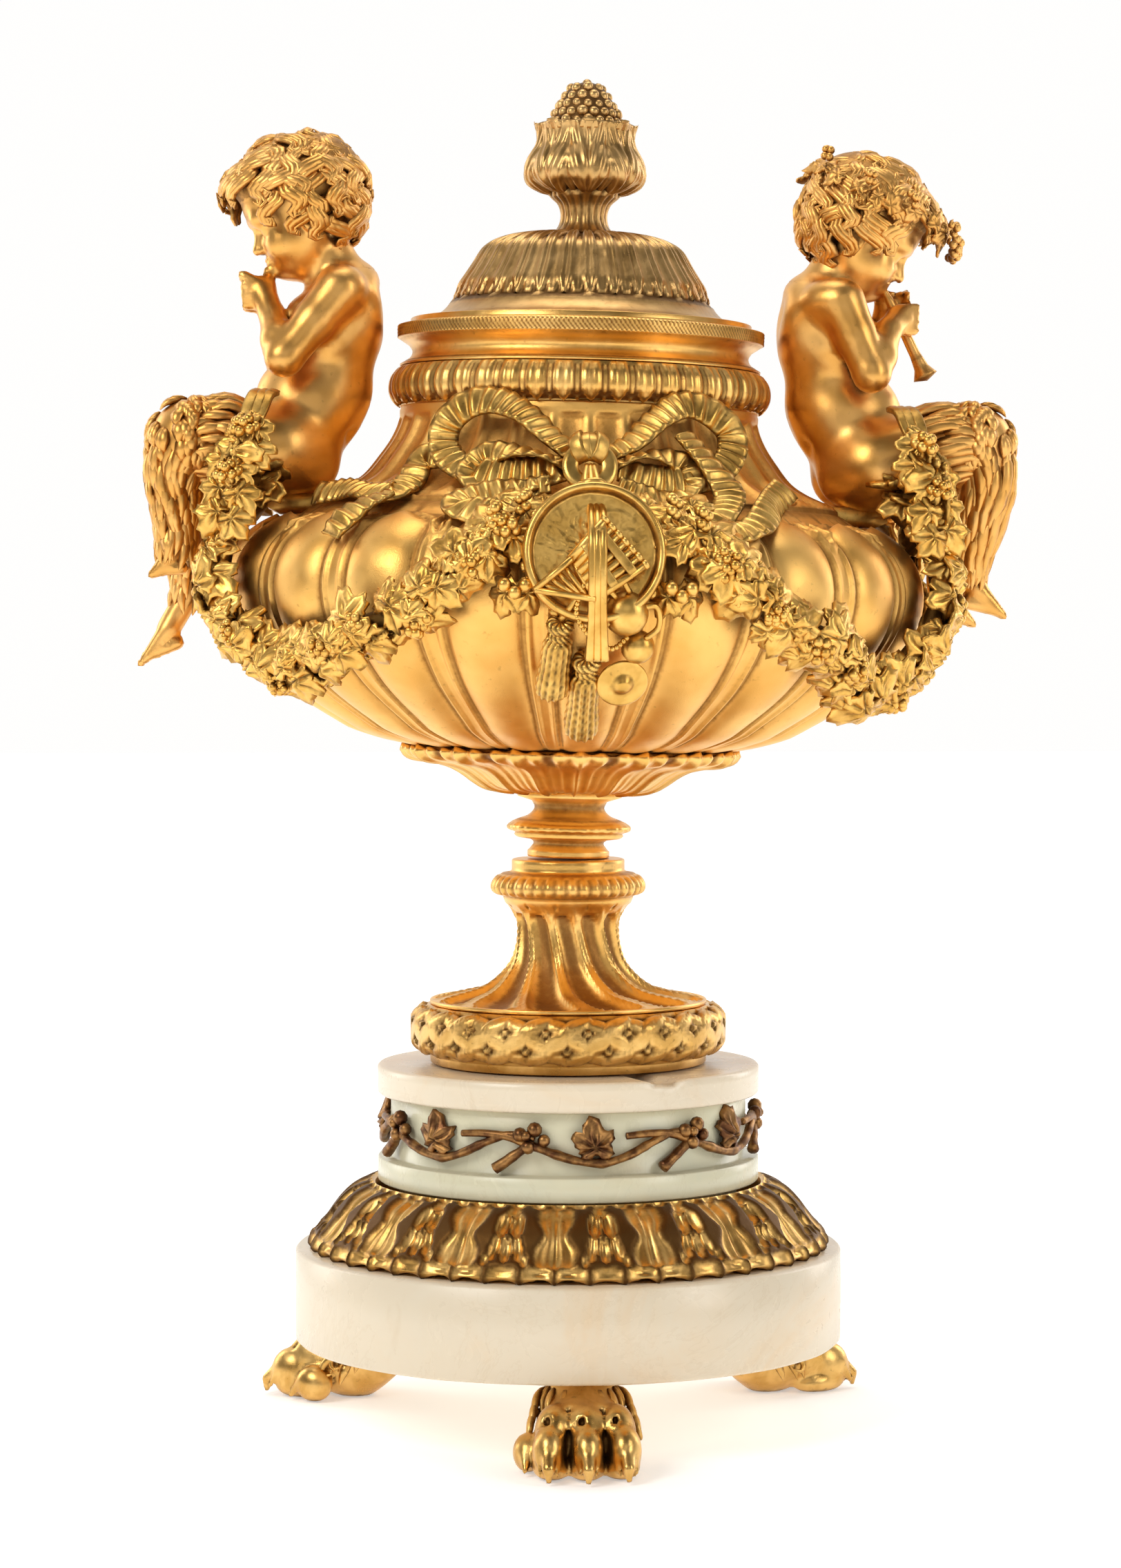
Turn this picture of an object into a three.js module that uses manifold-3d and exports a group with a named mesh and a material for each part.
// A gilt-bronze and marble mantel urn with a loose lid, two seated infant satyrs,
// vine swags, a ribbon bow with a musical trophy, and a marble plinth on lion paws.
// Millimetres, +Z up. The origin is at floor level on the axis of the plinth, and the
// front, with the single paw and the trophy, faces -Y.
import * as THREE from "three";
import { mergeVertices } from "three/addons/utils/BufferGeometryUtils.js";
import Module from "manifold-3d";

const wasm = await Module();
wasm.setup();

// ---- driving dimensions ----------------------------------------------------------
const TOTAL_HEIGHT = 460;
const GAP = 0.3; // between touching pieces of the leaning vase
const LEAN = THREE.MathUtils.degToRad(1.4); // the vase leans a little to +X
const PIVOT_Z = 193.35; // where the leaning part starts
const FOOT_HEIGHT = 28;
const FOOT_REACH = 117.5; // toes, from the axis
const BASE_R = 94.1;
const BASE_TOP = 60;
const STEP_R = 65.6;
const STEP_TOP = 91.5;
const DRUM_R = 61.05;
const DRUM_TOP = 112.7;
const CAP_R = 65.7;
const CAP_TOP = 123;
const LAUREL_TOP = 143.5;
const STEM_TOP = 193.2;
const CALYX_Z = 216.8;
const BOWL_Z = 226.4;
const BOWL_R = 119.7;
const BOWL_MAX_Z = 285.5;
const NECK_R = 61;
const NECK_TOP = 347;
const WALL = 5.5; // from the crest of a lobe to the inside
const LOBES = 20;
const LOBE_DEPTH = 2.6;
const RIM_R = 62.5;
const RIM_TOP = 375.3;
const LID_R = 54;
const LID_TOP = 406.3;
const COLLAR_MOTIFS = 16;
const STEM_FLUTES = 12;
const STEM_TWIST = THREE.MathUtils.degToRad(38);
const VINE_REPEATS = 7;
const SEAT_TOP = 315.3;

const rad = THREE.MathUtils.degToRad;
const V3 = (p) => new THREE.Vector3(p[0], p[1], p[2]);

// ---- solids ------------------------------------------------------------------------
// Shares the vertices of a geometry and drops the slivers at its poles.
function tidy(geometry) {
  const g = geometry.clone();
  for (const name of Object.keys(g.attributes))
    if (name !== "position") g.deleteAttribute(name);
  const merged = mergeVertices(g, 1e-4);
  const a = merged.index.array;
  const kept = [];
  for (let i = 0; i < a.length; i += 3)
    if (a[i] !== a[i + 1] && a[i + 1] !== a[i + 2] && a[i] !== a[i + 2])
      kept.push(a[i], a[i + 1], a[i + 2]);
  merged.setIndex(kept);
  return merged;
}

function solid(geometry) {
  if (geometry instanceof wasm.Manifold) return geometry;
  const g = tidy(geometry);
  const vertProperties = new Float32Array(g.attributes.position.array);
  const triVerts = new Uint32Array(g.index.array);
  const made = new wasm.Manifold(
    new wasm.Mesh({ numProp: 3, vertProperties, triVerts }),
  );
  if (made.volume() >= 0) return made;
  for (let i = 0; i < triVerts.length; i += 3)
    [triVerts[i + 1], triVerts[i + 2]] = [triVerts[i + 2], triVerts[i + 1]];
  return new wasm.Manifold(
    new wasm.Mesh({ numProp: 3, vertProperties, triVerts }),
  );
}

const join = (...parts) => parts.flat().map(solid).reduce((a, b) => a.add(b));
const cut = (from, ...tools) =>
  tools.flat().map(solid).reduce((a, b) => a.subtract(b), solid(from));

// The largest body of a solid, without the crumbs that a cut leaves.
function mainBody(s) {
  const bodies = s.decompose();
  return bodies.reduce((a, b) => (b.volume() > a.volume() ? b : a));
}

function geometryOf(s) {
  const m = solid(s).getMesh();
  const v = new Float32Array(m.numVert * 3);
  for (let i = 0; i < m.numVert; i++)
    v.set(m.vertProperties.subarray(i * m.numProp, i * m.numProp + 3), i * 3);
  const g = new THREE.BufferGeometry();
  g.setAttribute("position", new THREE.BufferAttribute(v, 3));
  g.setIndex(new THREE.BufferAttribute(new Uint32Array(m.triVerts), 1));
  g.computeVertexNormals();
  return g;
}

// A body of revolution about Z from [radius, height] pairs. `relief` may move each point
// out by dr and round by dt, as carving, from its angle off the front, radius, height and row.
function turned(profile, segments, relief) {
  const g = new THREE.LatheGeometry(
    profile.map(([r, z]) => new THREE.Vector2(r, z)),
    segments,
  );
  g.rotateX(Math.PI / 2);
  if (!relief) return g;
  const p = g.attributes.position;
  const rows = profile.length;
  for (let i = 0; i < p.count; i++) {
    const column = Math.floor(i / rows) % segments;
    const row = i % rows;
    const [r, z] = profile[row];
    if (r === 0) continue;
    const t = (column * 2 * Math.PI) / segments;
    const { dr = 0, dt = 0, dz = 0 } = relief(t, r, z, row, column);
    p.setXYZ(
      i,
      (r + dr) * Math.sin(t + dt),
      -(r + dr) * Math.cos(t + dt),
      z + dz,
    );
  }
  return g;
}

// A closed tube along points, its radius changing with the way along it, 0 to 1.
function tube(points, radius, steps, sides, closed = false) {
  const path = new THREE.CatmullRomCurve3(points.map(V3), closed, "centripetal");
  const circle = new THREE.Shape(
    Array.from({ length: sides }, (_, i) => {
      const a = (i * 2 * Math.PI) / sides;
      return new THREE.Vector2(Math.cos(a), Math.sin(a));
    }),
  );
  const g = new THREE.ExtrudeGeometry(circle, {
    steps,
    extrudePath: path,
    curveSegments: 1,
    bevelEnabled: false,
  });
  const centres = Array.from({ length: steps + 1 }, (_, i) =>
    path.getPointAt(i / steps),
  );
  const p = g.attributes.position;
  const v = new THREE.Vector3();
  for (let i = 0; i < p.count; i++) {
    v.fromBufferAttribute(p, i);
    let best = 0;
    for (let j = 1; j <= steps; j++)
      if (v.distanceToSquared(centres[j]) < v.distanceToSquared(centres[best]))
        best = j;
    v.sub(centres[best]).multiplyScalar(radius(best / steps)).add(centres[best]);
    p.setXYZ(i, v.x, v.y, v.z);
  }
  return g;
}

function blob(centre, radii, turn = [0, 0, 0], detail = 1) {
  const g = new THREE.IcosahedronGeometry(1, detail);
  g.scale(...radii);
  g.rotateX(turn[0]).rotateY(turn[1]).rotateZ(turn[2]);
  g.translate(...centre);
  return g;
}

// A rounded limb from a to b, tapering from radius ra to rb.
function limb(a, b, ra, rb, sides = 5) {
  const from = V3(a);
  const along = V3(b).sub(from);
  const length = along.length();
  const profile = [
    [0, -ra * 0.8],
    [ra, 0],
    [rb, length],
    [0, length + rb * 0.8],
  ];
  const g = new THREE.LatheGeometry(
    profile.map(([r, z]) => new THREE.Vector2(r, z)),
    sides,
  );
  g.applyQuaternion(
    new THREE.Quaternion().setFromUnitVectors(
      new THREE.Vector3(0, 1, 0),
      along.normalize(),
    ),
  );
  g.translate(from.x, from.y, from.z);
  return g;
}

// ---- the vase's outer surface -------------------------------------------------------
const BOWL = [
  [57, 231],
  [81, 239.5],
  [98.5, 250.4],
  [112.6, 265],
  [BOWL_R, 282],
  [115.8, 298],
  [101, 308.8],
  [90, 312.2],
];
const NECK = [
  [87, 315.8],
  [75.4, 321],
  [64.6, 333],
  [NECK_R, NECK_TOP],
];
// A point standing off the vase's surface, at an angle in degrees (270 is the front).
function onUrn(angle, z, off = 0) {
  const line = [...BOWL, ...NECK];
  let i = 1;
  while (i < line.length - 1 && z > line[i][1]) i++;
  const [r0, z0] = line[i - 1];
  const [r1, z1] = line[i];
  const f = (z - z0) / (z1 - z0);
  const length = Math.hypot(r1 - r0, z1 - z0);
  const r = r0 + (r1 - r0) * f + (off * (z1 - z0)) / length;
  const t = rad(angle);
  return [r * Math.cos(t), r * Math.sin(t), z - (off * (r1 - r0)) / length];
}
// The room that the vase takes, for what is fitted round it.
const envelope = solid(
  turned(
    [
      [0, 229],
      [57.5, 230.6],
      [81.6, 239],
      [99.2, 250],
      [113.2, 264.8],
      [BOWL_R + 0.5, 282],
      [116.4, 298.3],
      [101.4, 309.4],
      [90.6, 312.8],
      [87.5, 316.4],
      [75.9, 321.6],
      [65.2, 333.3],
      [NECK_R + 0.5, 346],
      [65.9, 350],
      [65.9, 370],
      [63.2, 372],
      [63.2, 376],
      [0, 376],
    ],
    LOBES * 2,
  ),
);

// ---- plinth --------------------------------------------------------------------------
// A lion's paw: three toes and a thumb in front of a broad pad, and an ankle that narrows
// up to the underside of the base. The floor and the base cut it flat.
function paw(angle) {
  const toe = (v, reach) =>
    limb([88, v * 0.75, 11], [FOOT_REACH - 6.9 - reach, v, 8], 10.5, 8.8, 6);
  const pieces = [
    toe(0, 0),
    toe(13, 2.5),
    toe(-13, 2.5),
    blob([85, 0, 7], [16, 17.5, 10]),
    blob([92, 18.5, 6.5], [9, 5, 7], [0, 0, 0], 0),
    limb([84, 0, 12], [80, 0, 34], 14.8, 13.2, 6),
  ];
  const box = (z0, z1) =>
    new THREE.BoxGeometry(300, 300, z1 - z0).translate(0, 0, (z0 + z1) / 2);
  const made = cut(
    join(pieces),
    box(FOOT_HEIGHT, FOOT_HEIGHT + 60),
    box(-60, 0),
  );
  const g = geometryOf(mainBody(made));
  g.rotateZ(rad(angle));
  return g;
}

const baseDisc = turned(
  [
    [0, FOOT_HEIGHT],
    [BASE_R, FOOT_HEIGHT],
    [BASE_R, BASE_TOP - 1],
    [BASE_R - 0.8, BASE_TOP],
    [0, BASE_TOP],
  ],
  32,
);

// Sixteen leaf buds over a scalloped fringe, in a ring that lies on the base.
const acanthusCollar = turned(
  [
    [STEP_R + 0.7, BASE_TOP],
    [87, BASE_TOP],
    [88.4, 62.6],
    [84.6, 67.6],
    [79.2, 75.6],
    [70.5, 78.8],
    [69.2, 82.2],
    [STEP_R + 0.7, 82.2],
    [STEP_R + 0.7, BASE_TOP],
  ],
  COLLAR_MOTIFS * 2,
  (t, r, z, row, column) => {
    const bud = column % 2 ? -0.7 : 1;
    const amount = [0, 1.0, 1.0, 1.6, 1.3, 0.4, 0, 0, 0][row];
    return { dr: bud * amount };
  },
);

const marbleDrum = turned(
  [
    [0, BASE_TOP],
    [STEP_R, BASE_TOP],
    [STEP_R, STEP_TOP],
    [DRUM_R, STEP_TOP],
    [DRUM_R, DRUM_TOP],
    [0, DRUM_TOP],
  ],
  28,
);

const capDisc = turned(
  [
    [0, DRUM_TOP],
    [CAP_R, DRUM_TOP],
    [CAP_R, CAP_TOP - 0.9],
    [CAP_R - 0.8, CAP_TOP],
    [0, CAP_TOP],
  ],
  28,
);

// A twig that winds round the drum, with a lobed leaf and two berries in each repeat.
function vineMount() {
  const mid = (STEP_TOP + DRUM_TOP) / 2;
  const period = (2 * Math.PI) / VINE_REPEATS;
  const parts = [
    turned(
      [
        [DRUM_R + 0.6, mid - 2],
        [DRUM_R + 4, mid],
        [DRUM_R + 0.6, mid + 2],
        [DRUM_R + 0.6, mid - 2],
      ],
      VINE_REPEATS * 4,
      (t) => ({ dz: -3.6 * Math.sin(((t - rad(30)) * 2 * Math.PI) / period) }),
    ),
  ];
  for (let k = 0; k < VINE_REPEATS; k++) {
    const leaf = new THREE.Shape(
      Array.from({ length: 6 }, (_, i) => {
        const a = (i * Math.PI) / 3 + Math.PI / 6;
        const r = i % 2 ? 5.6 : 9.4;
        return new THREE.Vector2(r * Math.cos(a), r * Math.sin(a));
      }),
    );
    const g = new THREE.ExtrudeGeometry(leaf, { depth: 3.4, bevelEnabled: false });
    g.rotateX(Math.PI / 2);
    g.translate(0, -(DRUM_R + 0.5), mid + 0.2);
    g.rotateZ(rad(4.7) + k * period);
    parts.push(g);
    const t = rad(-15.5) + k * period;
    const r = DRUM_R + 4.7;
    parts.push(
      blob(
        [r * Math.sin(t), -r * Math.cos(t), mid - 0.8],
        [4.2, 4.2, 3.8],
        [0, 0, 0],
        0,
      ),
    );
  }
  return geometryOf(mainBody(join(parts)));
}

const laurelRing = turned(
  [
    [0, CAP_TOP],
    [47.6, CAP_TOP],
    [47.8, CAP_TOP + 3.6],
    [53.2, 129.6],
    [54.3, 135],
    [52.6, 140.8],
    [47.8, LAUREL_TOP],
    [0, LAUREL_TOP],
  ],
  28,
  (t, r, z, row, column) => ({
    dr: row > 2 && row < 6 ? ((column + row) % 2 ? 0.6 : -0.4) : 0,
  }),
);

// ---- stem of the vase ------------------------------------------------------------------
const FOOT_PROFILE = [
  [0, LAUREL_TOP],
  [47.8, LAUREL_TOP],
  [47.8, LAUREL_TOP + 1.3],
  [38.4, 146.8],
  [28.4, 149.6],
  [22, 155],
  [18.6, 162.4],
  [18.2, 171.5],
  [21.4, 177.3],
  [25.9, 181.4],
  [25.9, 185.4],
  [19.4, 189.6],
  [19.4, STEM_TOP],
  [0, STEM_TOP],
];
const flutedFoot = turned(FOOT_PROFILE, STEM_FLUTES * 2, (t, r, z, row, column) => {
  const f = THREE.MathUtils.clamp((177.3 - z) / (177.3 - LAUREL_TOP), 0, 1);
  const hollow = column % 2;
  const depth = row > 2 && row < 8 ? 0.1 * r : 0;
  return { dr: -hollow * depth, dt: STEM_TWIST * (f - 0.5) };
});

const stemKnop = turned(
  [
    [0, 193.95],
    [14.3, 193.95],
    [14.3, 196],
    [12, 198.9],
    [18.7, 200.9],
    [21.1, 203.6],
    [19.2, 206.3],
    [12, 210.7],
    [18.1, 214.2],
    [18.1, CALYX_Z - GAP],
    [0, CALYX_Z - GAP],
  ],
  16,
);

const leafCalyx = turned(
  [
    [0, CALYX_Z],
    [27.5, CALYX_Z],
    [39.8, 224.4],
    [51, 226.2],
    [56.2, 228.4],
    [56.2, 230.2],
    [46.4, BOWL_Z - GAP - 0.1],
    [0, BOWL_Z - GAP - 0.1],
  ],
  24,
  (t, r, z, row, column) => ({
    dr: row > 0 && row < 6 ? (column % 2 ? -1.2 : 0.9) * (row > 2 ? 1 : 0.7) : 0,
  }),
);

// ---- bowl and neck, hollow and open at the top -------------------------------------------
function urnBody() {
  const outer = turned(
    [[0, BOWL_Z], [45, BOWL_Z], ...BOWL, ...NECK, [0, NECK_TOP]],
    LOBES * 2,
    (t, r, z, row, column) => {
      const lobed = z > 230 && z < 312 ? LOBE_DEPTH : 0;
      const fade = z > 305 ? 0.8 : z < 240 ? 0.6 : 1;
      return { dr: column % 2 ? -lobed * fade : 0 };
    },
  );
  const inner = turned(
    [
      [0, BOWL_Z + 4.2],
      [44, BOWL_Z + 4.6],
      [77, 244],
      [105, 264.6],
      [BOWL_R - WALL, 284],
      [107, 299.5],
      [80, 309.6],
      [62, 326.5],
      [57, 341],
      [57, NECK_TOP + 5],
      [0, NECK_TOP + 5],
    ],
    24,
  );
  return geometryOf(cut(outer, inner));
}

const tongueCollar = turned(
  [
    [57, NECK_TOP + GAP],
    [61.6, NECK_TOP + GAP],
    [65, 352.4],
    [64, 357.2],
    [61.2, 359],
    [57, 359],
    [57, NECK_TOP + GAP],
  ],
  24,
  (t, r, z, row, column) => ({
    dr: row > 0 && row < 4 ? (column % 2 ? -0.5 : 0.3) : 0,
  }),
);

const rimRing = turned(
  [
    [55, 359 + GAP],
    [61.8, 359 + GAP],
    [61.8, 361.4],
    [57.9, 364.8],
    [RIM_R, 369.7],
    [RIM_R, 374.2],
    [58.4, RIM_TOP],
    [50.5, RIM_TOP],
    [55, 367],
    [55, 359 + GAP],
  ],
  20,
);

// The lid is a shell, open below, and rests on the rim.
const lid = turned(
  [
    [0, 403],
    [21, 402],
    [31, 396.5],
    [39.5, 382],
    [49.5, RIM_TOP + GAP],
    [LID_R, RIM_TOP + GAP],
    [LID_R, 376.8],
    [47.6, 379],
    [43.8, 384],
    [37.6, 395],
    [33, 401.4],
    [24.1, 405.1],
    [0, LID_TOP],
  ],
  18,
);

const finial = turned(
  [
    [0, LID_TOP + GAP],
    [14.7, LID_TOP + GAP],
    [14.4, 407.4],
    [8.3, 410.4],
    [7.8, 414.6],
    [12.1, 420.2],
    [19.8, 424],
    [20.9, 427.5],
    [19.6, 431.8],
    [16.8, 437],
    [17.4, 444],
    [12.6, 445.6],
    [9.2, 452.6],
    [5.4, 457.6],
    [0, TOTAL_HEIGHT],
  ],
  14,
  (t, r, z, row, column) => ({
    dr: row > 5 && row < 11 ? (column % 2 ? -0.7 : 0.5) : 0,
  }),
);

// ---- the seated satyrs ---------------------------------------------------------------------
// Each is one casting, set out in its own frame: u is out from the vase's axis, v towards the
// front and z up. side is -1 on the left (-X) and 1 on the right (+X).
function faun(side) {
  const right = side > 0;
  const at = ([u, v, z]) => [side * u, -v, z];
  const L = (a, b, ra, rb, sides) => limb(at(a), at(b), ra, rb, sides);
  const B = (c, r, turn = 0, detail = 1) =>
    blob(at(c), r, [0, -side * turn, 0], detail);
  const parts = [
    B([94, 0, 344], [21, 18, 25], right ? -0.25 : -0.35), // hips and belly
    B([84, 0, 370], [17.5, 20, 21], 0.1), // chest and shoulders
    L([85, 0, 386], [95, 0, 402], 10.5, 9.5), // neck
    B([98, 0, 413.5], [20, 17.5, 24.5]), // head
    B([101, 0, 418], [28.5, 17, 12.5], 0.1), // hair over the brow
    B([85, 0, 413], [16, 19, 14.5], 0, 0), // hair behind
  ];
  const elbow = right ? [100, 0, 359] : [101.5, 0, 359];
  const wrist = right ? [103, 0, 377] : [105.5, 0, 377];
  for (const s of [1, -1]) {
    parts.push(
      L([84, s * 18, 384], [elbow[0], s * 23, elbow[2]], 8.8, 7.2, 4),
      L([elbow[0], s * 23, elbow[2]], [wrist[0], s * 9, wrist[2]], 6.8, 5.8, 4),
    );
  }
  parts.push(B(right ? [106, 3, 381] : [109, 2, 384], [8.6, 11, 7.6], 0, 0)); // hands
  if (right) {
    // the pipe, from the lips to its bell
    parts.push(L([104.5, 2, 391], [117, 3, 366], 2.5, 2.5, 4));
    parts.push(L([115.5, 3, 369], [118.4, 3, 363], 2.5, 4.8, 4));
  }
  // shaggy thighs and shanks, and cloven hooves
  const legs = right
    ? [
        { v: 14, knee: [137, 339], shin: [133, 304], ankle: [137.5, 290], hoof: [141.5, 282] },
        { v: -14, knee: [135, 329], shin: [130, 298], ankle: [133, 285], hoof: [136, 277] },
      ]
    : [
        { v: 15, knee: [135.5, 334], shin: [138.5, 305], ankle: [139, 297], hoof: [139, 290] },
        { v: -12, knee: [133.5, 318], shin: [131, 283], ankle: [137.5, 268.5], hoof: [143, 260.5] },
      ];
  for (const { v, knee, shin, ankle, hoof } of legs) {
    parts.push(
      L([101, v * 0.75, 331], [knee[0], v, knee[1]], 15.5, 12.5),
      L([knee[0], v, knee[1]], [shin[0], v, shin[1]], 12.5, 7),
      L([shin[0], v, shin[1]], [ankle[0], v, ankle[1]], 6.6, 5.8, 4),
      B([hoof[0], v, hoof[1]], [8.6, 7.6, 7.6], 0, 0),
    );
  }
  const seatTool = new THREE.BoxGeometry(60, 80, 12).translate(
    side * 80,
    0,
    SEAT_TOP + GAP - 6,
  );
  return geometryOf(mainBody(cut(join(parts), envelope, seatTool)));
}

// A small plate that takes the figure's weight, fitted to the shoulder of the vase.
function seat(side) {
  const plate = new THREE.BoxGeometry(26, 27, 6.4).translate(
    side * 92.5,
    0,
    SEAT_TOP - 3.2,
  );
  return geometryOf(mainBody(cut(plate, envelope)));
}

// ---- swags ---------------------------------------------------------------------------------
// Vine leaves and grapes bound into a rope: it hangs from a satyr's hip, down past the widest
// part of the bowl, and sweeps up to the middle.
function garland(side, facing, low) {
  const front = facing < 0;
  const turn = (a) => (front ? a : 360 - a);
  const flip = (a) => (side < 0 ? a : 540 - a);
  const place = (angle, z, off) => onUrn(turn(flip(angle)), z, off);
  const points = [
    [side * 112.5, facing * 37, 339],
    [side * 116, facing * 39.5, 323],
    place(196.5, 301, 10.5),
    place(198, 284, 7.6),
    place(208, low + 7, 8.6),
    place(218, low, 9),
    place(231, 271, 8.2),
    place(243, 278, 7.6),
    place(251, 290, 7.4),
    place(257, 303, 6.6),
  ];
  const fat = (s) =>
    3.2 + 4.2 * Math.sin(Math.PI * Math.min(1, 0.12 + s * 0.95)) ** 0.8 +
    0.8 * Math.sin(s * 40);
  const rope = tube(points, (s) => Math.min(fat(s), 7), 20, 5);
  return geometryOf(mainBody(cut(rope, envelope)));
}

// ---- ribbon bow and trophy -------------------------------------------------------------------
function ribbonBow(facing) {
  const f = (x, y, z) => [x, facing * y, z];
  const at = (angle, z, off) => {
    const [x, y, h] = onUrn(angle, z, off);
    return [x, facing * -y, h];
  };
  const parts = [];
  for (const s of [-1, 1]) {
    parts.push(
      tube(
        [
          f(s * 3, 77.5, 329),
          f(s * 14, 76, 336.5),
          f(s * 30, 68, 346),
          f(s * 45, 57, 343),
          f(s * 48.5, 60, 331.5),
          f(s * 31, 73, 328),
          f(s * 3, 79, 326),
        ],
        () => 2.8,
        10,
        4,
      ),
    );
    const tail =
      s < 0
        ? [at(265, 322, 5), at(252, 316.4, 5), at(243, 313.6, 4.6), at(226, 313.6, 4.6), at(210, 313.6, 4.6)]
        : [at(275, 322, 5), at(290, 318.6, 5), at(300, 315.6, 5), at(309, 316, 5), at(316, 318, 5)];
    parts.push(tube(tail, () => 2.5, 7, 4));
  }
  parts.push(blob(f(0, 80.5, 325.5), [7, 5, 7], [0, 0, 0], 0));
  return geometryOf(mainBody(cut(join(parts), envelope)));
}

function trophy(facing, plain) {
  const f = (x, y, z) => [x, facing * y, z];
  const tilt = facing < 0 ? 1 : -1;
  const disc = new THREE.CylinderGeometry(22.4, 22.4, 6, 18);
  disc.rotateX(tilt * rad(14)).translate(...f(-1, 125.6, 294.5));
  const ring = new THREE.TorusGeometry(7.6, 1.7, 4, 10);
  ring.rotateX(tilt * rad(50));
  ring.translate(...f(-1.5, 93.5, 325.5));
  const parts = [
    disc,
    ring,
    // the strap from the ring over the shoulder, behind the drum
    tube(
      [f(-1.5, 98, 320), f(-1.5, 107, 315), f(-1.5, 117.5, 307.5), f(-1.5, 124, 297)],
      () => 2.6,
      5,
      4,
    ),
    // a tassel on its cord below
    tube(
      [f(-2, 126, 279), f(-2.5, 125.5, 270), f(-2.5, 118, 256), f(-2, 108, 247), f(-2, 98, 240)],
      (s) => (s < 0.3 ? 3 : 3 + 3 * (s - 0.3)),
      7,
      5,
    ),
  ];
  if (!plain) {
    // pan pipes laid across the drum, a gourd and a second tassel
    const pipes = new THREE.BoxGeometry(27, 3.6, 13);
    pipes.rotateY(rad(-38)).rotateX(tilt * rad(8));
    pipes.translate(...f(2, 130.5, 286));
    parts.push(
      pipes,
      blob(f(9, 124.5, 270), [7, 6, 10.5], [0, 0, 0], 0),
      tube(
        [f(-9, 128, 282), f(-12, 127.5, 270), f(-12.5, 121, 260.5), f(-12, 114.5, 253)],
        (s) => 2.6 + 2 * s,
        5,
        5,
      ),
    );
  }
  const whole = cut(join(parts), envelope);
  return geometryOf(mainBody(whole));
}

// ---- materials and the scene graph --------------------------------------------------------------
const metal = (color, roughness) =>
  new THREE.MeshStandardMaterial({ color, roughness, metalness: 1 });
const stone = (color) =>
  new THREE.MeshStandardMaterial({ color, roughness: 0.45, metalness: 0 });

function mesh(name, geometry, material) {
  const m = new THREE.Mesh(geometryOf(geometry), material);
  m.name = name;
  return m;
}

const urn = new THREE.Group();
urn.add(
  mesh("paw_foot_front", paw(270), metal(0xc98a3c, 0.3)),
  mesh("paw_foot_right", paw(30), metal(0xc98a3c, 0.3)),
  mesh("paw_foot_left", paw(150), metal(0xc98a3c, 0.3)),
  mesh("marble_base_disc", baseDisc, stone(0xe9e2d2)),
  mesh("acanthus_collar", acanthusCollar, metal(0xbf8438, 0.32)),
  mesh("marble_drum", marbleDrum, stone(0xdfdccb)),
  mesh("vine_mount", vineMount(), metal(0x5d3c1e, 0.42)),
  mesh("marble_cap_disc", capDisc, stone(0xece3d0)),
  mesh("laurel_ring", laurelRing, metal(0xa9762f, 0.35)),
  mesh("fluted_foot", flutedFoot, metal(0xcf9552, 0.36)),
);

const vase = new THREE.Group();
vase.rotation.y = LEAN;
vase.position.set(
  -PIVOT_Z * Math.sin(LEAN),
  0,
  PIVOT_Z * (1 - Math.cos(LEAN)),
);
vase.add(
  mesh("stem_knop", stemKnop, metal(0xbd7f3d, 0.34)),
  mesh("leaf_calyx", leafCalyx, metal(0xc98d4c, 0.36)),
  mesh("urn_body", urnBody(), metal(0xd79a62, 0.42)),
  mesh("tongue_collar", tongueCollar, metal(0xc48742, 0.34)),
  mesh("rim_ring", rimRing, metal(0xb97c3c, 0.34)),
  mesh("lid", lid, metal(0x9a6a34, 0.38)),
  mesh("lid_finial", finial, metal(0xa06c34, 0.38)),
  mesh("faun_left", faun(-1), metal(0xc98536, 0.28)),
  mesh("faun_right", faun(1), metal(0xc98536, 0.28)),
  mesh("seat_left", seat(-1), metal(0xa8712f, 0.36)),
  mesh("seat_right", seat(1), metal(0xa8712f, 0.36)),
  mesh("garland_front_left", garland(-1, -1, 262), metal(0x94702f, 0.36)),
  mesh("garland_front_right", garland(1, -1, 259), metal(0x94702f, 0.36)),
  mesh("garland_back_left", garland(-1, 1, 262), metal(0x94702f, 0.36)),
  mesh("garland_back_right", garland(1, 1, 262), metal(0x94702f, 0.36)),
  mesh("ribbon_bow_front", ribbonBow(-1), metal(0x9c7a3a, 0.34)),
  mesh("ribbon_bow_back", ribbonBow(1), metal(0x9c7a3a, 0.34)),
  mesh("trophy_front", trophy(-1, false), metal(0x94702f, 0.36)),
  mesh("trophy_back", trophy(1, true), metal(0x94702f, 0.36)),
);
urn.add(vase);

export default urn;
